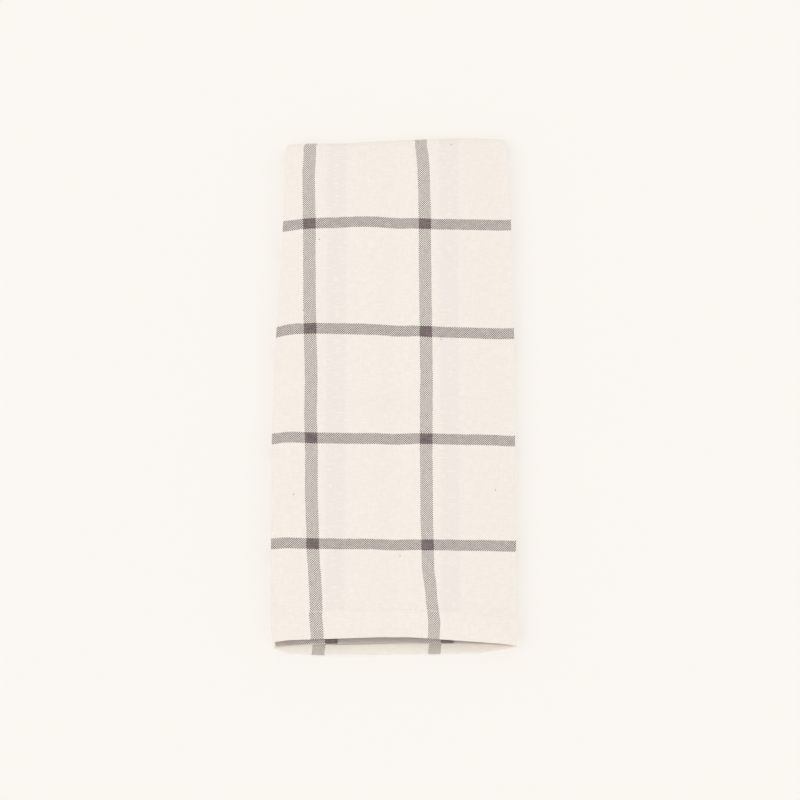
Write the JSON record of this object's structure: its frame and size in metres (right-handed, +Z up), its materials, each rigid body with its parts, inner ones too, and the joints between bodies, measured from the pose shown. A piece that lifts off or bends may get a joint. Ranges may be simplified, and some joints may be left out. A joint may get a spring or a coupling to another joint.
{
  "type": "tea towel",
  "caption": "Folded cotton tea towel, woven with a grey windowpane check on cream, folded in thirds and then in half.",
  "frame": {"origin": "middle of the folded towel's outline, on the surface it lies on", "axes": "+X to the right across the folded towel, +Y along it from the hems towards the top fold, +Z up"},
  "size_m": [0.1692, 0.3826, 0.0141],
  "materials": {
    "cloth": "plain woven cotton, cream with grey windowpane stripes, matt"
  },
  "bodies": {
    "root": {"tea_towel": "cloth"}
  },
  "joints": []
}
